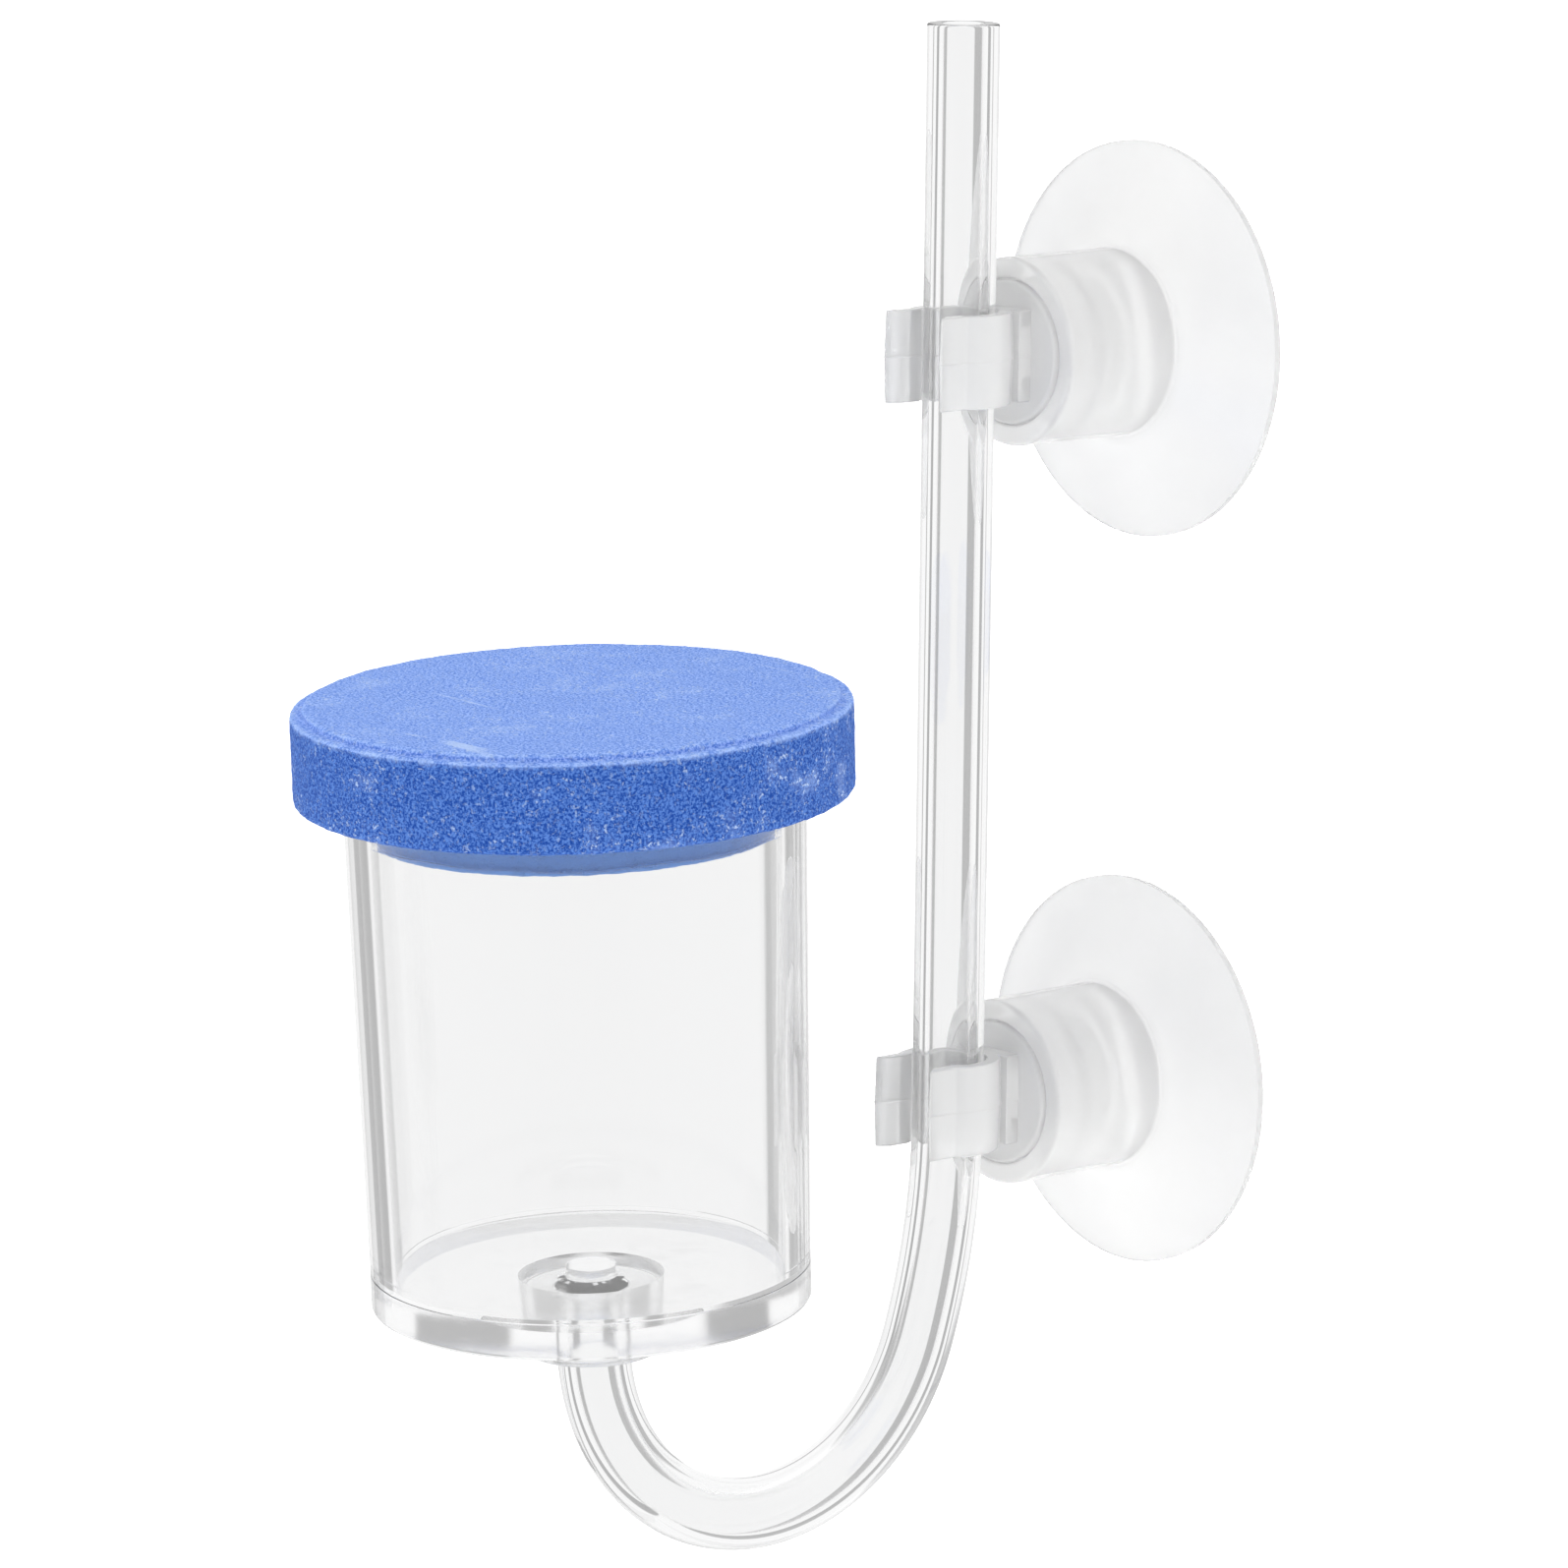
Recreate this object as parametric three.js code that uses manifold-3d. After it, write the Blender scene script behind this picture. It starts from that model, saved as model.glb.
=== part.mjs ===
// A carbon dioxide diffuser for a planted aquarium. Gas comes down a clear hooked tube, fills a clear
// chamber and leaves through a porous blue disc as fine bubbles. Two suction cups with snap-on clips
// hold the tube against the glass.
// Millimetres. +Z is up and +Y points at the glass. The glass is the plane y = 0, and the origin is the
// middle of the upper suction cup's sealing rim.
import * as THREE from "three";
import { mergeVertices } from "three/addons/utils/BufferGeometryUtils.js";
import Module from "manifold-3d";

const wasm = await Module();
wasm.setup();

// Driving dimensions.
const TUBE_RADIUS = 3; // a 6 mm tube, the size that 4/6 mm gas hose goes on
const TUBE_BORE_RADIUS = 1.65;
const TUBE_TO_GLASS = 20.7;
const TUBE_TOP_Z = 27.4;
const CUP_SPACING = 62.8; // from the upper cup's axis down to the lower cup's
const RUNNING_GAP = 0.15; // between a clip and the tube, and round a swivel plug
const GLUE_GAP = 0.15; // between two glued faces

// The hook at the tube's foot: a wide bend, then a tight one up into the chamber.
const HOOK_START_Z = -64.2;
const WIDE_BEND_RADIUS = 59.4;
const WIDE_BEND_DEG = 17.9;
const TIGHT_BEND_RADIUS = 17.85;
const CHAMBER_LEAN_DEG = 2.8; // the hook stops this much short of a half turn
const LEG_LENGTH = 4.2; // straight run from the hook to the underside of the chamber
const WIDE_BEND_STEPS = 3;
const TIGHT_BEND_STEPS = 18;

// The chamber, measured along its own axis from the underside of its base.
const BASE_THICKNESS = 3;
const BASE_RADIUS = 17.8;
const BASE_CHAMFER = 0.3;
const CHAMBER_TOP = 41.8;
const CHAMBER_TOP_RADIUS = 18.5;
const CHAMBER_WALL = 2;
const GAS_HOLE_RADIUS = 2;
const BOSS_HEIGHT = 4.3;
const BOSS_RADIUS = 5.9;
const BOSS_FOOT_RADIUS = 5.6;
const BOSS_STEP = 1; // the web left above the tube's socket

// The porous disc and the spigot that plugs the chamber's mouth.
const DISC_RADIUS = 22.4;
const DISC_THICKNESS = 7.75;
const DISC_LEDGE = 1;
const DISC_LEDGE_DROP = 0.5;
const DISC_EDGE = 0.5;
const SPIGOT_RADIUS = 15.9;
const SPIGOT_DEPTH = 3;
const ADHESIVE_WALL = 0.35;

// The tube clips.
const CLIP_HEIGHT = 7.7;
const CLIP_WALL = 1.35;
const CLIP_LIP_WALL = 1.25;
const CLIP_LIP_CHAMFER = 0.3;
const CLIP_LIP_REACH = 5.1; // how far the lips reach past the tube's axis
const CLIP_THROAT_HALF = 2.45; // narrower than the tube, so the clip snaps on
const CLIP_LEAD_IN = 1.1;
const WEB_HALF = 3.1;
const PLUG_FACE = 5.2; // the plug's front face, from the tube's axis
const PLUG_RADIUS = 6;
const PLUG_FACE_THICKNESS = 1.7;
const PLUG_CHAMFER = 0.4;
const STEM_RADIUS = 3.6;
const HEAD_RADIUS = 5.7;
const HEAD_THICKNESS = 1.6;
const HEAD_CHAMFER = 0.6;

// The suction cups, by their distance in front of the glass.
const CUP_RIM_RADIUS = 16.65;
const CUP_RIM_LIP = 1.1; // width of the flat sealing face at the rim
const CUP_RIM_THICKNESS = 0.8;
const CUP_DISH_DEPTH = 2.7;
const CUP_DISH_FLAT_RADIUS = 2; // the middle of the dish's hollow side is flat
const CUP_DISH_BULGE = 0.35; // 0 makes the dish a plain cone
const CUP_NECK_RADIUS = 7.85;
const CUP_NECK_FRONT = 15.2;
const CUP_NECK_REAR = 3.7;
const CUP_NECK_CHAMFER = 0.4;
const CUP_POCKET_FLOOR = 7.5;
const CUP_RIB_RADIUS = 5; // the rib that keeps the plug's head in
const CUP_RIB_FRONT = 12;
const CUP_RIB_REAR = 10.6;

const FACETS = 48;
const TUBE_FACETS = 20;
const BORE_FACETS = 12;
const ARC_FACETS = 18;
const DISH_STEPS = 6;

const degrees = THREE.MathUtils.degToRad;

// The tube is in the plane x = 0, hooking towards -Y. Angles along the hook start straight down.
const wideAngle = degrees(WIDE_BEND_DEG);
const hookAngle = degrees(180 - CHAMBER_LEAN_DEG);

// A point on the hook's centre line, once it has turned by the given angle.
function hookPoint(angle) {
  const wide = Math.min(angle, wideAngle);
  let reach = WIDE_BEND_RADIUS * (1 - Math.cos(wide));
  let drop = WIDE_BEND_RADIUS * Math.sin(wide);
  if (angle > wideAngle) {
    reach += TIGHT_BEND_RADIUS * (Math.cos(wideAngle) - Math.cos(angle));
    drop += TIGHT_BEND_RADIUS * (Math.sin(angle) - Math.sin(wideAngle));
  }
  return new THREE.Vector3(0, -TUBE_TO_GLASS - reach, HOOK_START_Z - drop);
}

const chamberUp = new THREE.Vector3(0, -Math.sin(hookAngle), -Math.cos(hookAngle));
const chamberFoot = hookPoint(hookAngle).addScaledVector(chamberUp, LEG_LENGTH);

// The tube's centre line. Its stations are close together only where the tube bends.
class TubeCentreLine extends THREE.Curve {
  constructor() {
    super();
    const tubeEnd = chamberFoot.clone().addScaledVector(chamberUp, -BOSS_STEP - GLUE_GAP);
    this.stations = [new THREE.Vector3(0, -TUBE_TO_GLASS, TUBE_TOP_Z)];
    for (let i = 0; i <= WIDE_BEND_STEPS; i++) {
      this.stations.push(hookPoint((wideAngle * i) / WIDE_BEND_STEPS));
    }
    for (let i = 1; i <= TIGHT_BEND_STEPS; i++) {
      const turned = wideAngle + ((hookAngle - wideAngle) * i) / TIGHT_BEND_STEPS;
      this.stations.push(hookPoint(turned));
    }
    this.stations.push(tubeEnd);
  }

  get steps() {
    return this.stations.length - 1;
  }

  getPointAt(u) {
    return this.stations[Math.round(u * this.steps)].clone();
  }

  getTangentAt(u) {
    const i = Math.round(u * this.steps);
    if (i <= 1) return new THREE.Vector3(0, 0, -1);
    if (i >= this.steps - 1) return chamberUp.clone();
    return this.stations[i + 1].clone().sub(this.stations[i - 1]).normalize();
  }
}

function circle(radius, sides) {
  const points = [];
  for (let i = 0; i < sides; i++) {
    const turn = (2 * Math.PI * i) / sides;
    points.push(new THREE.Vector2(radius * Math.cos(turn), radius * Math.sin(turn)));
  }
  return points;
}

function material(color, roughness, opacity = 1) {
  return new THREE.MeshStandardMaterial({
    color,
    roughness,
    metalness: 0,
    opacity,
    transparent: opacity < 1,
  });
}

const clearAcrylic = () => material(0xeef2f3, 0.05, 0.3);
const softVinyl = () => material(0xf1f3f2, 0.45, 0.6);
const clipPlastic = () => material(0xe8eaea, 0.3, 0.7);
const blueMineral = () => material(0x4a7ad6, 0.95);
const adhesive = () => material(0xdfe8f2, 0.15, 0.4);

function named(name, geometry, look) {
  const mesh = new THREE.Mesh(geometry, look);
  mesh.name = name;
  return mesh;
}

// A closed solid of revolution from [radius, height] pairs, turning about +Y.
function turned(outline) {
  return new THREE.LatheGeometry(
    outline.map(([radius, height]) => new THREE.Vector2(radius, height)),
    FACETS,
  );
}

// The same, standing on +Z.
function turnedUpright(outline) {
  return turned(outline).rotateX(Math.PI / 2);
}

function toManifold(geometry) {
  const bare = geometry.clone();
  bare.deleteAttribute("normal");
  bare.deleteAttribute("uv");
  const merged = mergeVertices(bare, 1e-4);
  return new wasm.Manifold(
    new wasm.Mesh({
      numProp: 3,
      vertProperties: merged.attributes.position.array,
      triVerts: new Uint32Array(merged.index.array),
    }),
  );
}

function fromManifold(solid) {
  const mesh = solid.getMesh();
  const geometry = new THREE.BufferGeometry();
  geometry.setAttribute("position", new THREE.BufferAttribute(mesh.vertProperties, 3));
  geometry.setIndex(new THREE.BufferAttribute(mesh.triVerts, 1));
  geometry.computeVertexNormals();
  return geometry;
}

function inletTube() {
  const section = new THREE.Shape(circle(TUBE_RADIUS, TUBE_FACETS));
  section.holes.push(new THREE.Path(circle(TUBE_BORE_RADIUS, BORE_FACETS)));
  const line = new TubeCentreLine();
  const geometry = new THREE.ExtrudeGeometry(section, { extrudePath: line, steps: line.steps });
  return named("inlet_tube", geometry, clearAcrylic());
}

// The boss under the base: a socket for the tube, with the gas hole above it.
function inletBoss() {
  const socket = TUBE_RADIUS + GLUE_GAP;
  const outline = [
    [GAS_HOLE_RADIUS, -BOSS_STEP],
    [socket, -BOSS_STEP],
    [socket, -BOSS_HEIGHT],
    [BOSS_FOOT_RADIUS, -BOSS_HEIGHT],
    [BOSS_RADIUS, -GLUE_GAP],
    [GAS_HOLE_RADIUS, -GLUE_GAP],
    [GAS_HOLE_RADIUS, -BOSS_STEP],
  ];
  return named("inlet_boss", turnedUpright(outline), clearAcrylic());
}

function chamberBase() {
  const outline = [
    [GAS_HOLE_RADIUS, 0],
    [BASE_RADIUS - BASE_CHAMFER, 0],
    [BASE_RADIUS, BASE_CHAMFER],
    [BASE_RADIUS, BASE_THICKNESS],
    [GAS_HOLE_RADIUS, BASE_THICKNESS],
    [GAS_HOLE_RADIUS, 0],
  ];
  return named("chamber_base", turnedUpright(outline), clearAcrylic());
}

// The chamber's wall, a little wider at its mouth than at its foot.
function chamberTube() {
  const foot = BASE_THICKNESS + GLUE_GAP;
  const mouth = CHAMBER_TOP - GLUE_GAP;
  const outline = [
    [BASE_RADIUS - CHAMBER_WALL, foot],
    [BASE_RADIUS, foot],
    [CHAMBER_TOP_RADIUS, mouth],
    [CHAMBER_TOP_RADIUS - CHAMBER_WALL, mouth],
    [BASE_RADIUS - CHAMBER_WALL, foot],
  ];
  return named("chamber_tube", turnedUpright(outline), clearAcrylic());
}

function diffuserDisc() {
  const top = CHAMBER_TOP + DISC_THICKNESS;
  const outline = [
    [0, CHAMBER_TOP - SPIGOT_DEPTH],
    [SPIGOT_RADIUS - DISC_EDGE, CHAMBER_TOP - SPIGOT_DEPTH],
    [SPIGOT_RADIUS, CHAMBER_TOP - SPIGOT_DEPTH + DISC_EDGE],
    [SPIGOT_RADIUS, CHAMBER_TOP],
    [DISC_RADIUS - DISC_EDGE, CHAMBER_TOP],
    [DISC_RADIUS, CHAMBER_TOP + DISC_EDGE],
    [DISC_RADIUS, top - DISC_LEDGE_DROP - DISC_EDGE / 2],
    [DISC_RADIUS - DISC_EDGE / 2, top - DISC_LEDGE_DROP],
    [DISC_RADIUS - DISC_LEDGE, top - DISC_LEDGE_DROP],
    [DISC_RADIUS - DISC_LEDGE - DISC_EDGE / 2, top],
    [0, top],
  ];
  return named("diffuser_disc", turnedUpright(outline), blueMineral());
}

// The ring of adhesive between the disc's spigot and the chamber's wall.
function adhesiveRing() {
  const inner = SPIGOT_RADIUS + GLUE_GAP / 2;
  const foot = CHAMBER_TOP - SPIGOT_DEPTH + DISC_EDGE;
  const outline = [
    [inner, foot],
    [inner + ADHESIVE_WALL, foot],
    [inner + ADHESIVE_WALL, CHAMBER_TOP - GLUE_GAP],
    [inner, CHAMBER_TOP - GLUE_GAP],
    [inner, foot],
  ];
  return named("disc_adhesive_ring", turnedUpright(outline), adhesive());
}

// The jaws' outline, seen from above, with the tube's axis at the origin and the cup towards +Y.
function jawOutline() {
  const inner = TUBE_RADIUS + RUNNING_GAP;
  const outer = inner + CLIP_WALL;
  const lipOuter = CLIP_THROAT_HALF + CLIP_LIP_WALL;
  const outerEnd = Math.asin(lipOuter / outer);
  const innerEnd = Math.asin(CLIP_THROAT_HALF / inner);
  const outline = new THREE.Shape();
  outline.moveTo(CLIP_THROAT_HALF, CLIP_LEAD_IN - CLIP_LIP_REACH);
  outline.lineTo(lipOuter - CLIP_LIP_CHAMFER, -CLIP_LIP_REACH);
  outline.lineTo(lipOuter, CLIP_LIP_CHAMFER - CLIP_LIP_REACH);
  outline.absarc(0, 0, outer, outerEnd - Math.PI / 2, 1.5 * Math.PI - outerEnd, false);
  outline.lineTo(-lipOuter, CLIP_LIP_CHAMFER - CLIP_LIP_REACH);
  outline.lineTo(CLIP_LIP_CHAMFER - lipOuter, -CLIP_LIP_REACH);
  outline.lineTo(-CLIP_THROAT_HALF, CLIP_LEAD_IN - CLIP_LIP_REACH);
  outline.absarc(0, 0, inner, 1.5 * Math.PI - innerEnd, innerEnd - Math.PI / 2, true);
  outline.closePath();
  return outline;
}

function webOutline() {
  const near = TUBE_RADIUS + RUNNING_GAP + CLIP_WALL / 2;
  const far = PLUG_FACE + PLUG_FACE_THICKNESS / 2;
  const outline = new THREE.Shape();
  outline.moveTo(-WEB_HALF, near);
  outline.lineTo(WEB_HALF, near);
  outline.lineTo(WEB_HALF, far);
  outline.lineTo(-WEB_HALF, far);
  outline.closePath();
  return outline;
}

function clipSlab(outline) {
  return new THREE.ExtrudeGeometry(outline, {
    depth: CLIP_HEIGHT,
    bevelEnabled: false,
    curveSegments: ARC_FACETS,
  }).translate(0, 0, -CLIP_HEIGHT / 2);
}

// The plug: a round face that fills the neck's mouth, a stem, and a head that snaps behind the rib.
function plug() {
  const stemFront = PLUG_FACE + PLUG_FACE_THICKNESS;
  const headRear = TUBE_TO_GLASS - CUP_POCKET_FLOOR - 2 * RUNNING_GAP;
  const headFront = headRear - HEAD_THICKNESS;
  const outline = [
    [0, PLUG_FACE],
    [PLUG_RADIUS - PLUG_CHAMFER, PLUG_FACE],
    [PLUG_RADIUS, PLUG_FACE + PLUG_CHAMFER],
    [PLUG_RADIUS, stemFront],
    [STEM_RADIUS, stemFront],
    [STEM_RADIUS, headFront],
    [HEAD_RADIUS, headFront],
    [HEAD_RADIUS - HEAD_CHAMFER, headRear],
    [0, headRear],
  ];
  return turned(outline);
}

function tubeClip(name) {
  const solid = toManifold(clipSlab(jawOutline()))
    .add(toManifold(clipSlab(webOutline())))
    .add(toManifold(plug()));
  return named(name, fromManifold(solid), clipPlastic());
}

// The thin dish of a suction cup, between its radius at the neck and at the rim, as [radius, distance].
function dishFace(fromRadius, fromDistance, toRadius, toDistance) {
  const points = [];
  for (let i = 0; i <= DISH_STEPS; i++) {
    const part = i / DISH_STEPS;
    const fall = THREE.MathUtils.lerp(part, Math.sin((part * Math.PI) / 2), CUP_DISH_BULGE);
    points.push([
      THREE.MathUtils.lerp(fromRadius, toRadius, part),
      -THREE.MathUtils.lerp(fromDistance, toDistance, fall),
    ]);
  }
  return points;
}

function suctionCup(name) {
  const lipInner = CUP_RIM_RADIUS - CUP_RIM_LIP;
  const pocket = PLUG_RADIUS + RUNNING_GAP;
  const back = dishFace(CUP_DISH_FLAT_RADIUS, CUP_DISH_DEPTH, lipInner, 0);
  const front = dishFace(CUP_NECK_RADIUS, CUP_NECK_REAR, CUP_RIM_RADIUS, CUP_RIM_THICKNESS);
  const outline = [
    [0, -CUP_POCKET_FLOOR],
    [pocket, -CUP_POCKET_FLOOR],
    [pocket, -CUP_RIB_REAR],
    [CUP_RIB_RADIUS, -CUP_RIB_REAR],
    [CUP_RIB_RADIUS, -CUP_RIB_FRONT],
    [pocket, -CUP_RIB_FRONT],
    [pocket, -CUP_NECK_FRONT],
    [CUP_NECK_RADIUS - CUP_NECK_CHAMFER, -CUP_NECK_FRONT],
    [CUP_NECK_RADIUS, CUP_NECK_CHAMFER - CUP_NECK_FRONT],
    ...front,
    [CUP_RIM_RADIUS, 0],
    ...back.reverse(),
    [0, -CUP_DISH_DEPTH],
  ];
  return named(name, turned(outline), softVinyl());
}

const co2Diffuser = new THREE.Group();
co2Diffuser.add(inletTube());

const chamber = new THREE.Group();
chamber.position.copy(chamberFoot);
chamber.rotation.x = degrees(CHAMBER_LEAN_DEG);
chamber.add(chamberBase(), chamberTube(), inletBoss(), diffuserDisc(), adhesiveRing());
co2Diffuser.add(chamber);

for (const [place, z] of [
  ["upper", 0],
  ["lower", -CUP_SPACING],
]) {
  const clip = tubeClip(place + "_tube_clip");
  clip.position.set(0, -TUBE_TO_GLASS, z);
  const cup = suctionCup(place + "_suction_cup");
  cup.position.set(0, 0, z);
  co2Diffuser.add(clip, cup);
}

export default co2Diffuser;
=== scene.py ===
"""The looks of the carbon dioxide diffuser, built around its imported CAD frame.

Every size here is in millimetres, and the mesh builders turn it into metres.
"""
import math

import bmesh
import bpy
from mathutils import Matrix, Vector, noise


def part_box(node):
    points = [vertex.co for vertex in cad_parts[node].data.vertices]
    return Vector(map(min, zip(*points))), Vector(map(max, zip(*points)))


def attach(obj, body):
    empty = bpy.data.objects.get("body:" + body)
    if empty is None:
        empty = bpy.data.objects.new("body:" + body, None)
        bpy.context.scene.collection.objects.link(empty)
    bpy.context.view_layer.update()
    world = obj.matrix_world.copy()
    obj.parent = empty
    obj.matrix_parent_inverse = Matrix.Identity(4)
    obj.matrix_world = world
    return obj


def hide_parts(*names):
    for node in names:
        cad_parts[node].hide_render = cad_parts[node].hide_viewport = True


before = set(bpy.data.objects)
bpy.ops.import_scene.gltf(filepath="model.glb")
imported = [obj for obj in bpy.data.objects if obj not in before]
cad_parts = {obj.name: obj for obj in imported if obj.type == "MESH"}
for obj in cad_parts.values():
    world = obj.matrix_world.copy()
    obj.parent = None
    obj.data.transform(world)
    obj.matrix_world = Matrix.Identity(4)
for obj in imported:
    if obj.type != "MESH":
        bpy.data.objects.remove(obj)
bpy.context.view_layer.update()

MM = 0.001
SHARP_ANGLE = math.radians(50)

# The gas tube. Its centre line is in the plane x = 0 and hooks towards -Y.
TUBE_RADIUS = 3.0
TUBE_BORE_RADIUS = 1.65
TUBE_TO_GLASS = 20.7
TUBE_TOP_Z = 27.4
HOOK_START_Z = -64.2
WIDE_BEND_RADIUS = 59.4
WIDE_BEND_DEG = 17.9
TIGHT_BEND_RADIUS = 17.85
CHAMBER_LEAN_DEG = 2.8
LEG_LENGTH = 3.05
TUBE_RING_SPACING = 0.8
TUBE_CUT_EDGE = 0.22
TUBE_SIDES = 72

# The chamber, along its own axis from the underside of its floor.
FLOOR_THICKNESS = 3.0
FLOOR_RADIUS = 17.8
FLOOR_CHAMFER = 0.3
SEAM_GAP = 0.01
SEAM_EDGE = 0.06
MOUTH_HEIGHT = 41.8
MOUTH_RADIUS = 18.5
MOUTH_EDGE = 0.2
WALL = 2.0
GAS_HOLE_RADIUS = 2.0
GAS_HOLE_EDGE = 0.12
BOSS_HEIGHT = 4.3
BOSS_RADIUS = 5.9
BOSS_FOOT_RADIUS = 5.6
BOSS_FOOT_EDGE = 0.3
SOCKET_WEB = 1.0  # left between the tube's socket and the floor
SOCKET_RADIUS = 3.05
CHAMBER_SIDES = 192

# The porous disc, and the bead of adhesive round its spigot.
DISC_RADIUS = 22.4
DISC_THICKNESS = 7.75
DISC_TOP = MOUTH_HEIGHT + DISC_THICKNESS
DISC_LEDGE = 1.0
DISC_LEDGE_DROP = 0.5
DISC_FOOT_EDGE = 0.6
DISC_RIM_EDGE = 0.35
LEDGE_INNER_EDGE = 0.15
LEDGE_TOP_EDGE = 0.34
SPIGOT_RADIUS = 15.9
SPIGOT_DEPTH = 3.0
SPIGOT_EDGE = 0.5
DISC_POINT_SPACING = 0.4
DISC_SIDES = 420
GRAIN_PER_MM = 2.6
GRAIN_SHIFT = 0.035
LUMPS_PER_MM = 0.9
LUMP_SHIFT = 0.05
GRAIN_SEED = 7
BEAD_FIT = 0.06
BEAD_FOOT_RISE = 0.45
BEAD_EDGE = 0.1
BEAD_WAVE = 0.35

# The clips, seen from above with the tube's axis at the origin.
CLIP_HEIGHT = 7.7
CLIP_WALL = 1.35
CLIP_INNER = 3.08
RUNNING_GAP = 0.15
CLIP_OUTER = TUBE_RADIUS + RUNNING_GAP + CLIP_WALL
CLIP_LIP_REACH = 5.1
CLIP_THROAT_HALF = 2.45
CLIP_LIP_WALL = 1.25
CLIP_LIP_CHAMFER = 0.25
CLIP_LEAD_IN = 1.1
CLIP_DRAFT = 0.13
CLIP_EDGE = 0.15
JAW_STEPS = 56
PARTING_RIDGE = 0.04
PARTING_HALF = 0.06
PARTING_FOOT = 0.13
WEB_HALF = 3.1
WEB_SHORTER = 0.05
PLUG_FACE = 5.2
PLUG_RADIUS = 6.0
PLUG_FACE_THICKNESS = 1.7
PLUG_EDGE = 0.3
STEM_RADIUS = 3.6
STEM_EDGE = 0.2
HEAD_RADIUS = 5.7
HEAD_FRONT = 11.3
HEAD_REAR = 12.9
HEAD_EDGE = 0.5
PLUG_SIDES = 96

# The suction cups, by distance in front of the glass.
CUP_RIM_RADIUS = 16.65
CUP_RIM_LIP = 1.1
CUP_RIM_THICKNESS = 0.7
CUP_RIM_EDGE = 0.2
CUP_DISH_DEPTH = 2.7
CUP_DISH_FLAT = 2.0
CUP_NECK_RADIUS = 7.85
CUP_NECK_FRONT = 15.2
CUP_NECK_REAR = 3.7
CUP_NECK_EDGE = 0.45
CUP_NECK_FILLET = 0.25
CUP_MOUTH_EDGE = 0.3
CUP_POCKET = 6.08
CUP_POCKET_FLOOR = 7.5
CUP_RIB_RADIUS = 5.0
CUP_RIB_FRONT = 12.0
CUP_RIB_REAR = 10.6
CUP_RIB_EDGE = 0.25
CUP_SIDES = 128
DISH_STEPS = 16
DISH_BULGE = 0.35

# The cemented faces, told apart by where they are.
BOND_TOLERANCE = 0.01
SOCKET_BOND_TOLERANCE = 0.03
TUBE_BOND_MARGIN = 0.1
WALL_BOND_REACH = 0.2
WALL_BOND_RISE = 0.7
BEAD_BOND_RISE = 0.75
BEAD_BOND_DROP = 0.3

# Where the looks change, as depths below the disc's top or the mouth, and as reaches.
# The disc's lighter top colour, which is painted light from above, takes over between these depths.
TOP_TONE_FROM = 0.8
TOP_TONE_TO = 0.6
WET_FROM = 0.3
WET_TO = 0.1
# Reaches of the pale edge colour, which is partly wear and partly painted light on the shaded riser.
OUTER_WEAR_AND_LIGHT_REACH = 0.6
INNER_WEAR_AND_LIGHT_REACH = 0.4
# Reach over which the dish's painted shade fades in beyond the neck.
DISH_SHADE_REACH = 3

# Colours, as linear red, green and blue.
# Painted shade and painted light: the side's grain is coloured darker and the top's lighter, as light from
# above would leave them.
SHADED_SIDE_GRAIN = ((0.006, 0.052, 0.30), (0.085, 0.20, 0.57))
LIT_TOP_GRAIN = ((0.095, 0.215, 0.66), (0.33, 0.485, 0.93))
SALT = (0.52, 0.66, 0.92)
# Pale edge colour: partly rubbed wear, partly painted light on the riser.
WORN_AND_LIT = (0.42, 0.58, 0.93)
# Painted light: the wet band's colour is brighter than the dry grain, to lift it out of the shade under
# the disc.
WET_AND_LIT_GRAIN = (0.16, 0.40, 0.99)
WALL_ACRYLIC = (0.946, 0.947, 0.948)
FLOOR_ACRYLIC = (0.982, 0.983, 0.984)
ADHESIVE = (0.93, 0.96, 1.0)
CLIP_TONES = ((0.985, 0.986, 0.987), (0.998, 0.998, 0.998))
NECK_TONE = (0.995, 0.995, 0.995)
# Painted shade: the dish colours are darker than the neck's, in soft patches.
DISH_SHADE_TONES = ((0.92, 0.921, 0.922), (0.975, 0.975, 0.975))

ACRYLIC_IOR = 1.49
CLIP_IOR = 1.45
VINYL_IOR = 1.42

# The camera, in the row frame.
CAMERA_AZIMUTH_DEG = 50.08
CAMERA_ELEVATION_DEG = 10.80
CAMERA_ROLL_DEG = 0.607
CAMERA_LENS_MM = 169.1
CAMERA_SENSOR_MM = 36.0
CAMERA_PLACE_M = (0.4522, -0.4173, 0.0788)
FLOOR_SIZE_M = 12.0
FLOOR_LEVEL_M = -0.3


# --- Meshes -----------------------------------------------------------------

def rounded(corners):
    """Rounds an outline's corners. corners holds (radius, height, reach of the rounding)."""
    steps = 4
    support = 1.25
    outline = []
    for index, (x, y, cut) in enumerate(corners):
        corner = Vector((x, y))
        if not cut:
            outline.append(corner)
            continue
        before = (Vector(corners[index - 1][:2]) - corner).normalized()
        after = (Vector(corners[(index + 1) % len(corners)][:2]) - corner).normalized()
        outline.append(corner + before * cut * support)
        for step in range(steps + 1):
            part = step / steps
            outline.append(corner + before * cut * (1 - part) ** 2 + after * cut * part ** 2)
        outline.append(corner + after * cut * support)
    return outline


def straight_axis(distance):
    return Vector((0, 0, distance)), Vector((1, 0, 0)), Vector((0, 1, 0))


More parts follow.
